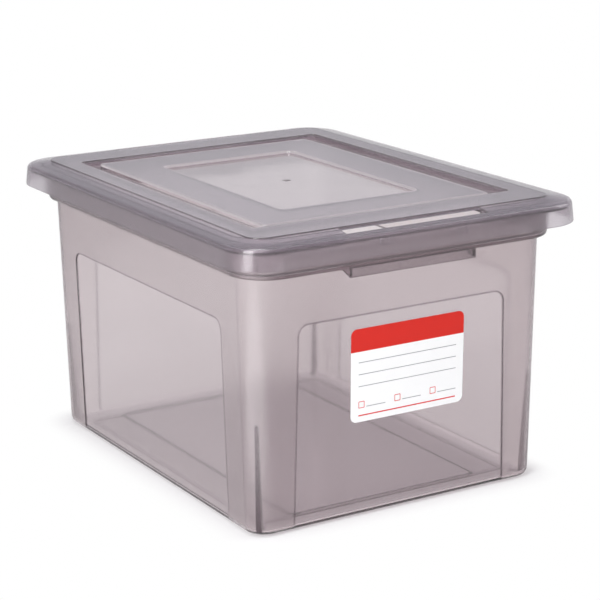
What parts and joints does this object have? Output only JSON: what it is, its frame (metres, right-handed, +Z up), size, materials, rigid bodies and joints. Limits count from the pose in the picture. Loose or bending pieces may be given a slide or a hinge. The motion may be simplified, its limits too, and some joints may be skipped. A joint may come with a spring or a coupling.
{
  "type": "file box",
  "caption": "Translucent plastic box for hanging file folders: drafted tub with clear window panels and end grips, and a lid with snap strips and a stacking recess.",
  "frame": {"origin": "centre of the footprint, on the table", "axes": "+X to the right as the label is read, +Y along the length from the label end to the back, +Z up"},
  "size_m": [0.362, 0.468, 0.272],
  "materials": {
    "tub_plastic": "translucent smoke polypropylene, fine frosted texture on the corner posts, smoother window panels",
    "lid_plastic": "translucent smoke polypropylene, fine frosted texture, smoother centre window",
    "label_paper": "white coated paper label, smooth"
  },
  "bodies": {
    "tub": {"tub": "tub_plastic", "label": "label_paper"},
    "lid": {"lid": "lid_plastic"}
  },
  "joints": [
    {"name": "lid_lift", "type": "slide", "parent": "tub", "child": "lid", "axis": [0, 0, 1], "range_m": [0, 0.2]}
  ]
}
